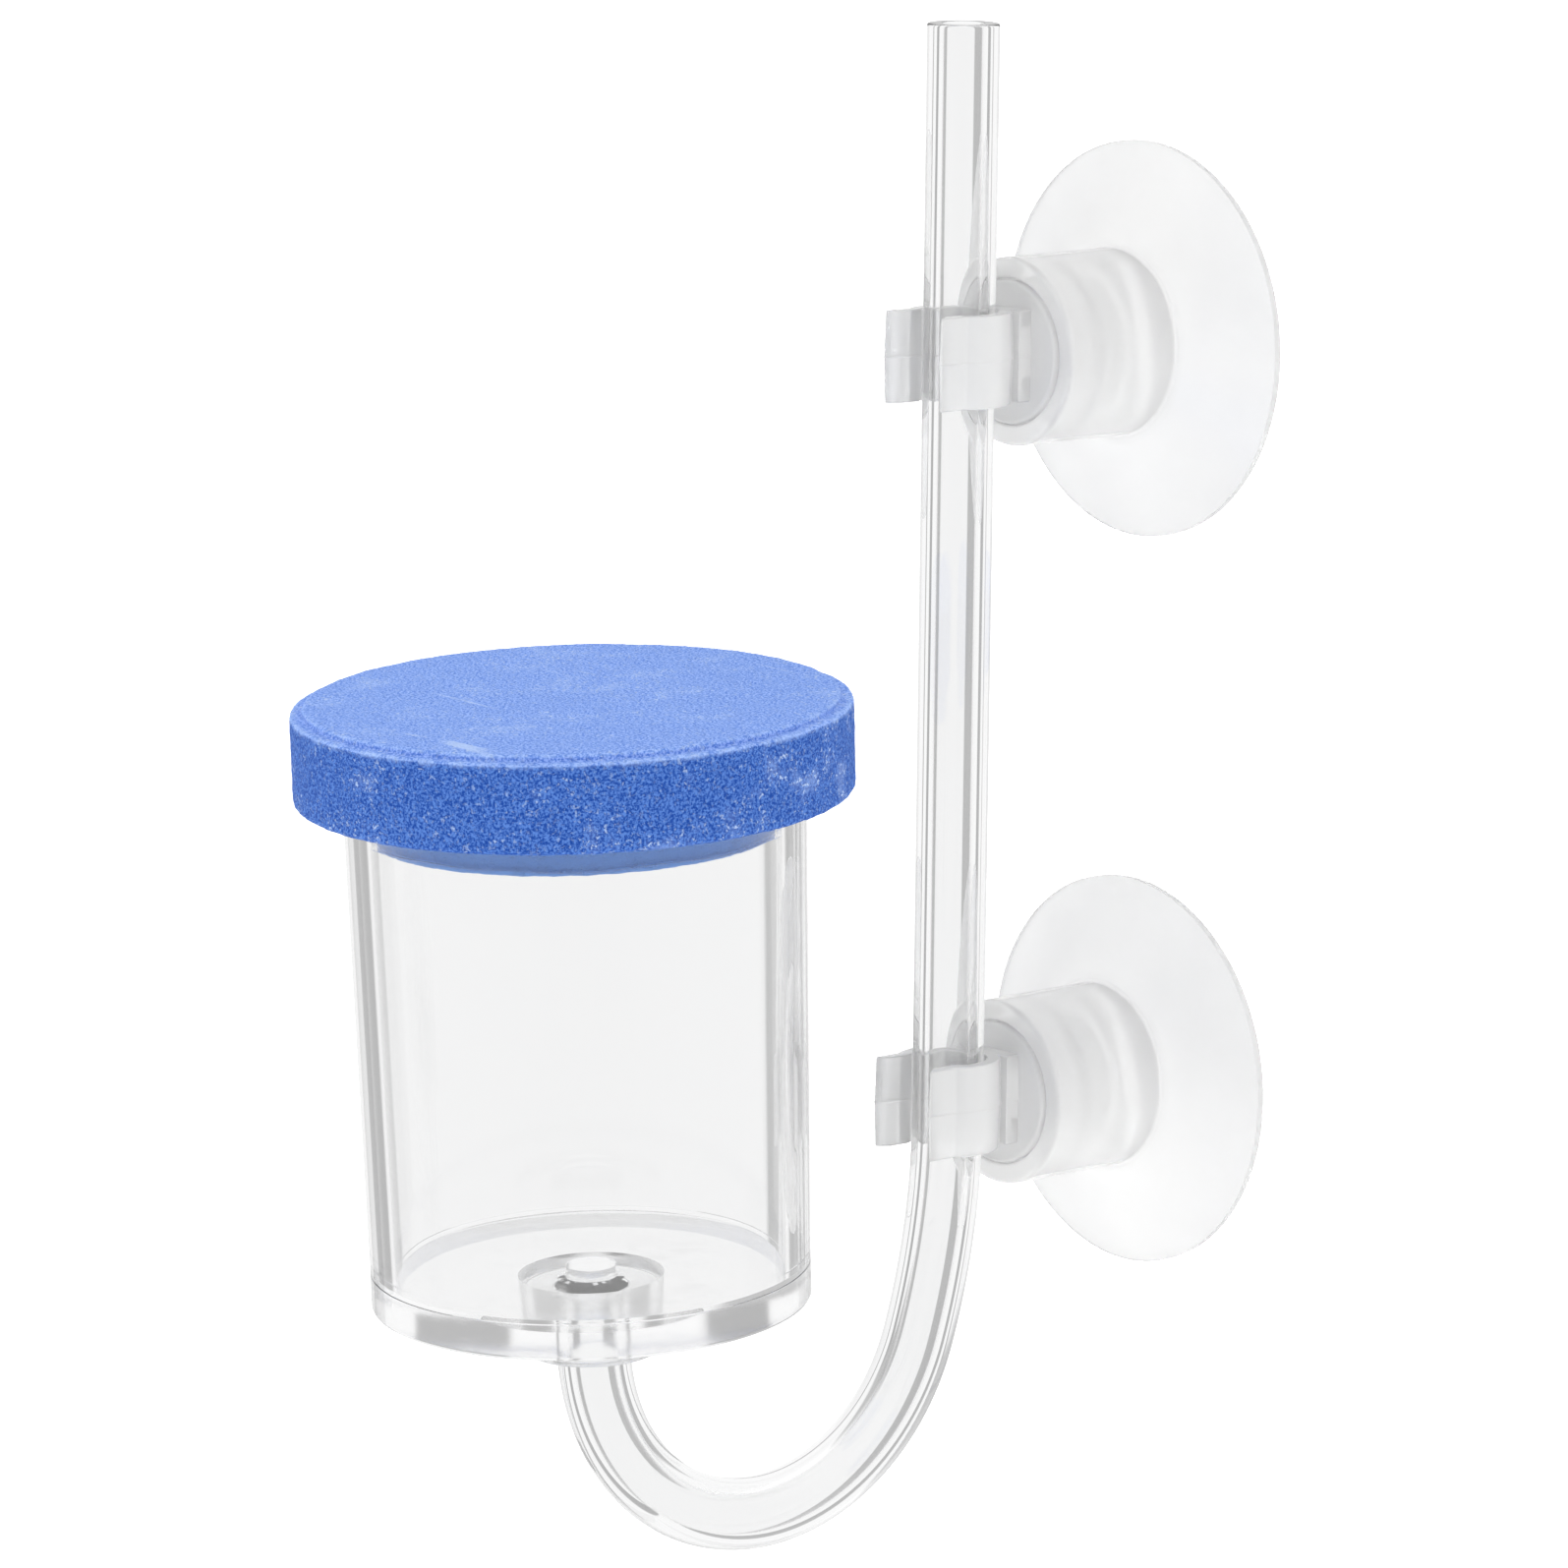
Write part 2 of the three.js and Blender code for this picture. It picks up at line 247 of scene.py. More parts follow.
def tube_runs():
    """The tube's stretches as (length, bend radius): straight, wide bend, tight bend and leg."""
    wide = math.radians(WIDE_BEND_DEG)
    tight = math.radians(180 - CHAMBER_LEAN_DEG) - wide
    return [
        (TUBE_TOP_Z - HOOK_START_Z, 0),
        (WIDE_BEND_RADIUS * wide, WIDE_BEND_RADIUS),
        (TIGHT_BEND_RADIUS * tight, TIGHT_BEND_RADIUS),
        (LEG_LENGTH, 0),
    ]


def tube_axis(distance):
    """The point on the tube's centre line at a distance from its top, and two directions across it."""
    y, z, heading = -TUBE_TO_GLASS, TUBE_TOP_Z, 0.0
    for length, radius in tube_runs():
        step = min(distance, length)
        distance -= step
        if radius:
            swung = heading + step / radius
            y -= radius * (math.cos(heading) - math.cos(swung))
            z -= radius * (math.sin(swung) - math.sin(heading))
            heading = swung
        else:
            y -= step * math.sin(heading)
            z -= step * math.cos(heading)
    return Vector((0, y, z)), Vector((1, 0, 0)), Vector((0, math.cos(heading), -math.sin(heading)))


def tube_length():
    return sum(length for length, radius in tube_runs())


def new_piece(name, mesh):
    mesh.normal_update()
    bmesh.ops.recalc_face_normals(mesh, faces=mesh.faces)
    data = bpy.data.meshes.new(name)
    mesh.to_mesh(data)
    mesh.free()
    data.shade_smooth()
    data.set_sharp_from_angle(angle=SHARP_ANGLE)
    piece = bpy.data.objects.new(name, data)
    bpy.context.scene.collection.objects.link(piece)
    return piece


def turned(name, outline, sides, axis=straight_axis, wobble=None):
    """A solid turned about an axis from (radius, distance) pairs. An outline that starts and ends at
    radius 0 is closed by its two poles, and any other closes on itself. wobble(point) gives a small
    shift of a point."""
    mesh = bmesh.new()
    rings = []
    for radius, distance in outline:
        centre, side, across = axis(distance)
        if radius == 0:
            rings.append([mesh.verts.new(centre * MM)])
            continue
        ring = []
        for step in range(sides):
            angle = math.tau * step / sides
            point = centre + radius * (math.cos(angle) * side + math.sin(angle) * across)
            if wobble:
                point += wobble(point)
            ring.append(mesh.verts.new(point * MM))
        rings.append(ring)
    pairs = list(zip(rings, rings[1:]))
    if len(rings[0]) > 1:
        pairs.append((rings[-1], rings[0]))
    for first, second in pairs:
        for step in range(sides):
            following = (step + 1) % sides
            corners = [first[step % len(first)], first[following % len(first)]]
            corners += [second[following % len(second)], second[step % len(second)]]
            mesh.faces.new(dict.fromkeys(corners))
    return new_piece(name, mesh)


def inset(outline, distance):
    """The closed outline moved inwards. It runs anticlockwise."""
    moved = []
    for index, point in enumerate(outline):
        before = (point - outline[index - 1]).normalized()
        after = (outline[(index + 1) % len(outline)] - point).normalized()
        inward = Vector((-before.y - after.y, before.x + after.x))
        moved.append(point + inward.normalized() * distance)
    return moved


def slab(name, outline, levels):
    """A moulded slab. levels holds (height, inset) from the bottom up."""
    mesh = bmesh.new()
    rings = []
    for height, distance in levels:
        shrunk = inset(outline, distance)
        rings.append([mesh.verts.new((p.x * MM, p.y * MM, height * MM)) for p in shrunk])
    for first, second in zip(rings, rings[1:]):
        for index in range(len(outline)):
            following = (index + 1) % len(outline)
            mesh.faces.new((first[index], first[following], second[following], second[index]))
    mesh.faces.new(rings[0])
    mesh.faces.new(rings[-1])
    return new_piece(name, mesh)


def fuse(piece, *others):
    """Joins other pieces into one, and keeps its flat faces flat."""
    for other in others:
        modifier = piece.modifiers.new("join", "BOOLEAN")
        modifier.operation = "UNION"
        modifier.solver = "EXACT"
        modifier.object = other
        graph = bpy.context.evaluated_depsgraph_get()
        joined = bpy.data.meshes.new_from_object(piece.evaluated_get(graph))
        piece.modifiers.clear()
        piece.data = joined
        bpy.data.objects.remove(other)
    piece.data.shade_smooth()
    piece.data.set_sharp_from_angle(angle=SHARP_ANGLE)
    normals = piece.modifiers.new("flat faces stay flat", "WEIGHTED_NORMAL")
    normals.keep_sharp = True
    return piece


# --- Materials ----------------------------------------------------------------

class Nodes:
    """A short way to add and link shader nodes. A texture's scale is its number of features in a metre."""

    def __init__(self, name):
        self.material = bpy.data.materials.new(name)
        self.material.use_nodes = True
        self.tree = self.material.node_tree
        self.shader = self.tree.nodes["Principled BSDF"]
        self.place = self.tree.nodes.new("ShaderNodeTexCoord").outputs["Object"]

    def link(self, source, target):
        self.tree.links.new(source, target)

    def feed(self, socket, value):
        """Links a socket to another, or sets its value."""
        if isinstance(value, bpy.types.NodeSocket):
            self.link(value, socket)
        else:
            socket.default_value = value

    def math(self, operation, first, second=0.0, clamp=False):
        node = self.tree.nodes.new("ShaderNodeMath")
        node.operation = operation
        node.use_clamp = clamp
        self.feed(node.inputs[0], first)
        self.feed(node.inputs[1], second)
        return node.outputs[0]

    def noise(self, scale, detail=2.0, roughness=0.5, stretch=(1, 1, 1), turn=0.0):
        mapping = self.tree.nodes.new("ShaderNodeMapping")
        mapping.inputs["Scale"].default_value = stretch
        mapping.inputs["Rotation"].default_value = (0, 0, math.radians(turn))
        self.link(self.place, mapping.inputs["Vector"])
        node = self.tree.nodes.new("ShaderNodeTexNoise")
        node.inputs["Scale"].default_value = scale
        node.inputs["Detail"].default_value = detail
        node.inputs["Roughness"].default_value = roughness
        self.link(mapping.outputs[0], node.inputs["Vector"])
        return node.outputs["Fac"]

    def ramp(self, factor, low, high, low_value=0.0, high_value=1.0):
        node = self.tree.nodes.new("ShaderNodeMapRange")
        node.interpolation_type = "SMOOTHSTEP"
        node.inputs["From Min"].default_value = low
        node.inputs["From Max"].default_value = high
        node.inputs["To Min"].default_value = low_value
        node.inputs["To Max"].default_value = high_value
        self.link(factor, node.inputs["Value"])
        return node.outputs["Result"]

    def mix(self, factor, first, second):
        """Mixes two colours, and each is a socket or three numbers."""
        node = self.tree.nodes.new("ShaderNodeMix")
        node.data_type = "RGBA"
        self.link(factor, node.inputs["Factor"])
        colours = [socket for socket in node.inputs if socket.type == "RGBA"]
        for socket, value in zip(colours, (first, second)):
            self.feed(socket, value if isinstance(value, bpy.types.NodeSocket) else (*value, 1))
        return [socket for socket in node.outputs if socket.type == "RGBA"][0]

    def bump(self, height, distance):
        """Raises the surface by the height socket's value times a distance in mm."""
        node = self.tree.nodes.new("ShaderNodeBump")
        node.inputs["Distance"].default_value = distance * MM
        self.link(height, node.inputs["Height"])
        self.link(node.outputs["Normal"], self.shader.inputs["Normal"])

    def set(self, **values):
        for name, value in values.items():
            self.shader.inputs[name.replace("_", " ")].default_value = value


def radius_and_height(nodes):
    parts = nodes.tree.nodes.new("ShaderNodeSeparateXYZ")
    nodes.link(nodes.place, parts.inputs[0])
    across = nodes.math("MULTIPLY", parts.outputs["X"], parts.outputs["X"])
    along = nodes.math("MULTIPLY", parts.outputs["Y"], parts.outputs["Y"])
    return nodes.math("SQRT", nodes.math("ADD", across, along)), parts.outputs["Z"]


def edge_mask(nodes, radius, height, at_radius, at_height, reach):
    """1 at a round edge, falling to 0 at the given reach."""
    off_radius = nodes.math("SUBTRACT", radius, at_radius * MM)
    off_height = nodes.math("SUBTRACT", height, at_height * MM)
    squares = nodes.math("ADD", nodes.math("MULTIPLY", off_radius, off_radius),
                         nodes.math("MULTIPLY", off_height, off_height))
    return nodes.ramp(nodes.math("SQRT", squares), 0.0, reach * MM, 1.0, 0.0)


def worn_and_lit_edges(nodes, radius, height):
    """Where the disc's two upper edges are coloured pale in patches: partly rubbed wear, partly painted
    light that lifts the riser out of its shade.
    """
    outer = edge_mask(nodes, radius, height, DISC_RADIUS, DISC_TOP - DISC_LEDGE_DROP, OUTER_WEAR_AND_LIGHT_REACH)
    inner = edge_mask(nodes, radius, height, DISC_RADIUS - DISC_LEDGE, DISC_TOP, INNER_WEAR_AND_LIGHT_REACH)
    patchy = nodes.ramp(nodes.noise(700, detail=6.0, roughness=0.75), 0.40, 0.62)
    return nodes.math("MULTIPLY", nodes.math("ADD", outer, inner, clamp=True), patchy)


def scratches(nodes, on_top):
    """A few thin pale scratches on the disc's top face."""
    lines = nodes.ramp(nodes.noise(700, detail=0.0, stretch=(0.05, 1.3, 1), turn=-48), 0.77, 0.80)
    few = nodes.ramp(nodes.noise(90, detail=1.0), 0.50, 0.58)
    return nodes.math("MULTIPLY", nodes.math("MULTIPLY", lines, few), on_top)


def blue_mineral():
    """Sintered blue grains, more open on the side and smoother on top, wet where glued. The top is
    coloured lighter and the side darker as painted light and painted shade from above, and the glued band
    brighter as painted light.
    """
    nodes = Nodes("blue_mineral")
    radius, height = radius_and_height(nodes)
    on_top = nodes.ramp(height, (DISC_TOP - TOP_TONE_FROM) * MM, (DISC_TOP - TOP_TONE_TO) * MM)
    grain = nodes.noise(4600, detail=2.0, roughness=0.8)
    patches = nodes.noise(230, detail=5.0, roughness=0.65)
    # Painted shade on the side and painted light on the top: the two grain colours differ as light from
    # above makes them.
    shaded_side_colour = nodes.mix(nodes.ramp(grain, 0.40, 0.62), *SHADED_SIDE_GRAIN)
    lit_top_colour = nodes.mix(nodes.ramp(grain, 0.41, 0.59), *LIT_TOP_GRAIN)
    colour = nodes.mix(on_top, shaded_side_colour, lit_top_colour)
    salt = nodes.ramp(nodes.noise(2600, detail=2.0, roughness=0.7), 0.57, 0.66)
    salt_share = nodes.math("MULTIPLY", salt, nodes.ramp(patches, 0.40, 0.66, 0.12, 0.75))
    colour = nodes.mix(salt_share, colour, SALT)
    haze = nodes.math("MULTIPLY", nodes.ramp(patches, 0.52, 0.75), 0.22)
    colour = nodes.mix(haze, colour, SALT)
    # Painted light and real wear: the pale edge colour lifts the riser, which the light from above leaves
    # in shade.
    colour = nodes.mix(nodes.math("MULTIPLY", worn_and_lit_edges(nodes, radius, height), 0.6), colour, WORN_AND_LIT)
    colour = nodes.mix(nodes.math("MULTIPLY", scratches(nodes, on_top), 0.6), colour, SALT)
    wet = nodes.ramp(height, (MOUTH_HEIGHT - WET_FROM) * MM, (MOUTH_HEIGHT - WET_TO) * MM, 1.0, 0.0)
    # Painted light: the glued band is wet and glossy, and its colour is raised brighter against the shade
    # under the disc.
    colour = nodes.mix(wet, colour, WET_AND_LIT_GRAIN)
    nodes.link(colour, nodes.shader.inputs["Base Color"])
    nodes.link(nodes.ramp(wet, 0.0, 1.0, 0.95, 0.35), nodes.shader.inputs["Roughness"])
    nodes.set(Specular_IOR_Level=0.25)
    nodes.bump(nodes.math("ADD", grain, nodes.math("MULTIPLY", salt, 0.4)), 0.12)
    return nodes.material


def clear_acrylic(name, tint, stretch, scale, depth, polish):
    """Water-clear acrylic with the faint drawing lines of its making. stretch is small along the
    lines, depth is in mm, and polish holds its lowest and highest roughness."""
    nodes = Nodes(name)
    nodes.set(Base_Color=(*tint, 1), Transmission_Weight=1.0, IOR=ACRYLIC_IOR)
    smears = nodes.noise(160, detail=5.0, roughness=0.65)
    nodes.link(nodes.ramp(smears, 0.50, 0.75, *polish), nodes.shader.inputs["Roughness"])
    nodes.bump(nodes.noise(scale, detail=3.0, roughness=0.6, stretch=stretch), depth)
    return nodes.material


def clear_adhesive():
    nodes = Nodes("clear_adhesive")
    nodes.set(Base_Color=(*ADHESIVE, 1), Transmission_Weight=1.0, IOR=ACRYLIC_IOR)
    ripples = nodes.noise(350, detail=3.0, roughness=0.6, stretch=(1, 1, 3))
    nodes.link(nodes.ramp(ripples, 0.5, 0.8, 0.02, 0.2), nodes.shader.inputs["Roughness"])
    nodes.bump(ripples, 0.036)
    return nodes.material


def clip_plastic():
    """Milky natural plastic, hard and half clear."""
    nodes = Nodes("frosted_clip_plastic")
    cloud = nodes.noise(300, detail=3.0, roughness=0.5)
    nodes.link(nodes.mix(cloud, *CLIP_TONES), nodes.shader.inputs["Base Color"])
    nodes.set(Transmission_Weight=0.6, IOR=CLIP_IOR)
    nodes.link(nodes.ramp(cloud, 0.3, 0.7, 0.1, 0.18), nodes.shader.inputs["Roughness"])
    nodes.bump(nodes.noise(260, detail=1.0), 0.012)
    return nodes.material


def soft_vinyl():
    """Soft vinyl, with painted shade on the thin dish: it is coloured darker than the neck, in soft
    patches.
    """
    nodes = Nodes("soft_clear_vinyl")
    radius = radius_and_height(nodes)[0]
    cloud = nodes.noise(70, detail=3.0, roughness=0.5)
    # Painted shade: the dish is coloured darker than the neck, in soft patches.
    shaded_dish = nodes.mix(nodes.ramp(cloud, 0.3, 0.7), *DISH_SHADE_TONES)
    on_dish = nodes.ramp(radius, CUP_NECK_RADIUS * MM, (CUP_NECK_RADIUS + DISH_SHADE_REACH) * MM)
    nodes.link(nodes.mix(on_dish, NECK_TONE, shaded_dish), nodes.shader.inputs["Base Color"])
    nodes.set(Transmission_Weight=0.64, IOR=VINYL_IOR)
    nodes.link(nodes.ramp(cloud, 0.3, 0.7, 0.17, 0.25), nodes.shader.inputs["Roughness"])
    nodes.bump(nodes.noise(110, detail=1.0), 0.05)
    return nodes.material


def bonded_joint():
    """The cement between two clear pieces, which light crosses as if they were one."""
    nodes = Nodes("bonded_joint")
    nodes.set(Alpha=0.0)
    return nodes.material


# --- Pieces -------------------------------------------------------------------

def gas_tube():
    length = tube_length()
    edge = TUBE_CUT_EDGE
    shoulder = 2 * edge
    count = round((length - 2 * shoulder) / TUBE_RING_SPACING)
    stations = [shoulder + (length - 2 * shoulder) * step / count for step in range(count + 1)]
    top = rounded([
        (TUBE_BORE_RADIUS, shoulder, 0), (TUBE_BORE_RADIUS, 0, edge),
        (TUBE_RADIUS, 0, edge), (TUBE_RADIUS, shoulder, 0),
    ])[1:-1]
    foot = rounded([
        (TUBE_RADIUS, length - shoulder, 0), (TUBE_RADIUS, length, edge),
        (TUBE_BORE_RADIUS, length, edge), (TUBE_BORE_RADIUS, length - shoulder, 0),
    ])[1:-1]
    outside = [Vector((TUBE_RADIUS, station)) for station in stations]
    bore = [Vector((TUBE_BORE_RADIUS, station)) for station in reversed(stations)]
    return turned("gas_tube_clear", top + outside + foot + bore, TUBE_SIDES, axis=tube_axis)


def chamber_wall():
    foot = FLOOR_THICKNESS + SEAM_GAP
    mouth = MOUTH_HEIGHT - SEAM_GAP
    outline = rounded([
        (FLOOR_RADIUS - WALL, foot, 0),
        (FLOOR_RADIUS, foot, SEAM_EDGE),
        (MOUTH_RADIUS, mouth, MOUTH_EDGE),
        (MOUTH_RADIUS - WALL, mouth, MOUTH_EDGE),
    ])
    return turned("chamber_wall_clear", outline, CHAMBER_SIDES)


def chamber_floor():
    inside = FLOOR_RADIUS - WALL
    outline = rounded([
        (GAS_HOLE_RADIUS, 0, GAS_HOLE_EDGE),
        (BOSS_RADIUS, 0, 0),
        (FLOOR_RADIUS, 0, FLOOR_CHAMFER),
        (FLOOR_RADIUS, FLOOR_THICKNESS, SEAM_EDGE),
        (inside, FLOOR_THICKNESS, 0),
        (GAS_HOLE_RADIUS, FLOOR_THICKNESS, GAS_HOLE_EDGE),
    ])
    return turned("chamber_floor_clear", outline, CHAMBER_SIDES)


def inlet_boss():
    outline = rounded([
        (GAS_HOLE_RADIUS, -SOCKET_WEB, GAS_HOLE_EDGE),
        (SOCKET_RADIUS, -SOCKET_WEB, 0),
        (SOCKET_RADIUS, -BOSS_HEIGHT, GAS_HOLE_EDGE),
        (BOSS_FOOT_RADIUS, -BOSS_HEIGHT, BOSS_FOOT_EDGE),
        (BOSS_RADIUS, -SEAM_GAP, 0),
        (GAS_HOLE_RADIUS, -SEAM_GAP, 0),
    ])
    return turned("inlet_boss_clear", outline, CHAMBER_SIDES)


def disc_outline():
    """Half the disc's section, with points close together so that its grain can be shaped."""
    corners = rounded([
        (0, MOUTH_HEIGHT - SPIGOT_DEPTH, 0),
        (SPIGOT_RADIUS, MOUTH_HEIGHT - SPIGOT_DEPTH, SPIGOT_EDGE),
        (SPIGOT_RADIUS, MOUTH_HEIGHT, 0),
        (DISC_RADIUS, MOUTH_HEIGHT, DISC_FOOT_EDGE),
        (DISC_RADIUS, DISC_TOP - DISC_LEDGE_DROP, DISC_RIM_EDGE),
        (DISC_RADIUS - DISC_LEDGE, DISC_TOP - DISC_LEDGE_DROP, LEDGE_INNER_EDGE),
        (DISC_RADIUS - DISC_LEDGE, DISC_TOP, LEDGE_TOP_EDGE),
        (0, DISC_TOP, 0),
    ])
    outline = [corners[0]]
    for before, after in zip(corners, corners[1:]):
        cuts = max(1, round((after - before).length / DISC_POINT_SPACING))
        outline += [before.lerp(after, cut / cuts) for cut in range(1, cuts + 1)]
    return outline


def grainy(point):
    """The disc's open sintered grain, as a shift of a point on its surface."""
    grain = noise.noise_vector(point * GRAIN_PER_MM) * GRAIN_SHIFT
    lumps = noise.noise_vector(point * LUMPS_PER_MM) * LUMP_SHIFT
    return grain + lumps


def porous_disc():
    """The porous head. Its grain is seeded, because the clock would set it otherwise."""
    noise.seed_set(GRAIN_SEED)
    return turned("porous_disc", disc_outline(), DISC_SIDES, wobble=grainy)


def adhesive_bead():
    """The adhesive between the disc's spigot and the chamber's wall, with an uneven lower edge."""
    inner = SPIGOT_RADIUS + BEAD_FIT
    outer = MOUTH_RADIUS - WALL - BEAD_FIT
    foot = MOUTH_HEIGHT - SPIGOT_DEPTH + BEAD_FOOT_RISE
    mouth = MOUTH_HEIGHT - BEAD_EDGE
    wave_height = 1.2
    waves_per_mm = 0.18

    def uneven(point):
        share = max(0.0, 1 - (point.z - foot) / wave_height)
        wave = noise.noise(Vector((point.x, point.y, wave_height)) * waves_per_mm)
        return Vector((0, 0, share * BEAD_WAVE * wave))

    outline = rounded([
        (inner, foot, 0), (outer, foot, BEAD_EDGE), (outer, mouth, BEAD_EDGE), (inner, mouth, 0),
    ])
    return turned("disc_adhesive_bead", outline, CHAMBER_SIDES, wobble=uneven)


def arc(radius, start, end, steps):
    turns = [start + (end - start) * step / steps for step in range(steps + 1)]
    return [Vector((radius * math.cos(turn), radius * math.sin(turn))) for turn in turns]


def jaw_outline():
    """The two jaws round the tube, with straight lips that lead it in."""
    lip_outer = CLIP_THROAT_HALF + CLIP_LIP_WALL
    outer_end = math.asin(lip_outer / CLIP_OUTER)
    inner_end = math.asin(CLIP_THROAT_HALF / CLIP_INNER)
    down = math.pi / 2
    right = [
        Vector((CLIP_THROAT_HALF, CLIP_LEAD_IN - CLIP_LIP_REACH)),
        Vector((lip_outer - CLIP_LIP_CHAMFER, -CLIP_LIP_REACH)),
        Vector((lip_outer, CLIP_LIP_CHAMFER - CLIP_LIP_REACH)),
    ]
    left = [Vector((-point.x, point.y)) for point in reversed(right)]
    around = arc(CLIP_OUTER, outer_end - down, 3 * down - outer_end, JAW_STEPS)
    inside = arc(CLIP_INNER, 3 * down - inner_end, inner_end - down, JAW_STEPS)
    return right + around + left + inside


def moulded_levels(half):
    """Levels of a slab that tapers away from a parting line at its middle."""
    upper = [
        (PARTING_HALF, -PARTING_RIDGE),
        (PARTING_FOOT, 0),
        (half - CLIP_EDGE, CLIP_DRAFT),
        (half - CLIP_EDGE / 3, CLIP_DRAFT + CLIP_EDGE / 3),
        (half, CLIP_DRAFT + CLIP_EDGE),
    ]
    lower = [(-height, distance) for height, distance in reversed(upper)]
    return lower + upper


def plug():
    """The plug that the cup's neck grips: a round face, a stem and a wider head."""
    face_rear = PLUG_FACE + PLUG_FACE_THICKNESS
    outline = rounded([
        (0, PLUG_FACE, 0),
        (PLUG_RADIUS, PLUG_FACE, PLUG_EDGE),
        (PLUG_RADIUS, face_rear, STEM_EDGE),
        (STEM_RADIUS, face_rear, STEM_EDGE),
        (STEM_RADIUS, HEAD_FRONT, STEM_EDGE),
        (HEAD_RADIUS, HEAD_FRONT, STEM_EDGE),
        (HEAD_RADIUS, HEAD_REAR, HEAD_EDGE),
        (0, HEAD_REAR, 0),
    ])
    piece = turned("plug", outline, PLUG_SIDES)
    piece.data.transform(Matrix.Rotation(-math.pi / 2, 4, "X"))
    return piece


def tube_clip(name):
    half = CLIP_HEIGHT / 2
    jaws = slab(name, jaw_outline(), moulded_levels(half))
    web_front = CLIP_OUTER - CLIP_WALL / 2
    web_rear = PLUG_FACE + PLUG_FACE_THICKNESS / 2
    corners = [(-WEB_HALF, web_front), (WEB_HALF, web_front), (WEB_HALF, web_rear), (-WEB_HALF, web_rear)]
    web = slab("web", [Vector(corner) for corner in corners], moulded_levels(half - WEB_SHORTER))
    return fuse(jaws, web, plug())


def dish_face(from_radius, from_distance, to_radius, to_distance):
    """One face of the dish, falling to the rim in a slight bulge."""
    points = []
    for step in range(DISH_STEPS + 1):
        part = step / DISH_STEPS
        fall = (1 - DISH_BULGE) * part + DISH_BULGE * math.sin(part * math.pi / 2)
        points.append(Vector((from_radius + (to_radius - from_radius) * part,
                              from_distance + (to_distance - from_distance) * fall)))
    return points


def suction_cup(name):
    """A cup turned about its own axis, which points out of the glass along its local +Z."""
    lip_inner = CUP_RIM_RADIUS - CUP_RIM_LIP
    dish_radius = CUP_NECK_RADIUS + CUP_NECK_EDGE
    pocket = rounded([
        (0, CUP_POCKET_FLOOR, 0),
        (CUP_POCKET, CUP_POCKET_FLOOR, CUP_MOUTH_EDGE),
        (CUP_POCKET, CUP_RIB_REAR, CUP_RIB_EDGE),
        (CUP_RIB_RADIUS, CUP_RIB_REAR, CUP_RIB_EDGE),
        (CUP_RIB_RADIUS, CUP_RIB_FRONT, CUP_RIB_EDGE),
        (CUP_POCKET, CUP_RIB_FRONT, CUP_RIB_EDGE),
        (CUP_POCKET, CUP_NECK_FRONT, CUP_MOUTH_EDGE),
        (CUP_NECK_RADIUS, CUP_NECK_FRONT, CUP_NECK_EDGE),
        (CUP_NECK_RADIUS, CUP_NECK_REAR, CUP_NECK_FILLET),
        (dish_radius, CUP_NECK_REAR, 0),
    ])[:-1]
    front = dish_face(dish_radius, CUP_NECK_REAR, CUP_RIM_RADIUS, CUP_RIM_THICKNESS)
    rim = rounded([
        (CUP_RIM_RADIUS, CUP_RIM_THICKNESS, 0), (CUP_RIM_RADIUS, 0, CUP_RIM_EDGE), (lip_inner, 0, 0),
    ])[1:-1]
    back = list(reversed(dish_face(CUP_DISH_FLAT, CUP_DISH_DEPTH, lip_inner, 0)))
    return turned(name, pocket + front + rim + back + [Vector((0, CUP_DISH_DEPTH))], CUP_SIDES)


# --- Placing ------------------------------------------------------------------

def bond(piece, joint, is_bonded):
    """Gives the joint's material to the faces that another clear piece is cemented to. is_bonded
    takes the middle of a face in mm, in the piece's own frame."""
    piece.data.materials.append(joint)
    for face in piece.data.polygons:
        if is_bonded(face.center / MM):
            face.material_index = 1


def bonded_wall(point):
    on_floor = point.z < FLOOR_THICKNESS + 2 * SEAM_GAP
    above_foot = point.z > MOUTH_HEIGHT - SPIGOT_DEPTH + WALL_BOND_RISE
    at_bead = above_foot and point.xy.length < MOUTH_RADIUS - WALL + WALL_BOND_REACH
    return on_floor or at_bead


def bonded_floor(point):
    under_wall = point.xy.length > FLOOR_RADIUS - WALL and point.z > FLOOR_THICKNESS - BOND_TOLERANCE
    over_boss = point.xy.length < BOSS_RADIUS and abs(point.z) < BOND_TOLERANCE
    return under_wall or over_boss


def bonded_boss(point):
    under_floor = point.z > -2 * SEAM_GAP
    in_socket = abs(point.xy.length - SOCKET_RADIUS) < SOCKET_BOND_TOLERANCE
    at_socket_end = abs(point.z + SOCKET_WEB) < BOND_TOLERANCE
    return under_floor or in_socket or at_socket_end


def bonded_bead(point):
    foot = MOUTH_HEIGHT - SPIGOT_DEPTH
    return foot + BEAD_BOND_RISE < point.z < MOUTH_HEIGHT - BEAD_BOND_DROP


def bonded_tube(point):
    """Whether a point is on the tube's end or outside within the boss's socket."""
    end, side, across = tube_axis(tube_length())
    up = across.cross(side)
    below = (end - point).dot(up)
    from_axis = (end - point - up * below).length
    in_socket = 0 <= below < BOSS_HEIGHT - SOCKET_WEB - TUBE_BOND_MARGIN
    return in_socket and GAS_HOLE_RADIUS < from_axis < TUBE_RADIUS + TUBE_BOND_MARGIN


def dress(piece, material, body, slot, *nodes):
    """Gives a finished piece its material, its body and the CAD nodes it stands for. Its record slot is
    not used.
    """
    piece.data.materials.clear()
    piece.data.materials.append(material)
    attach(piece, body)
    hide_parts(*nodes)


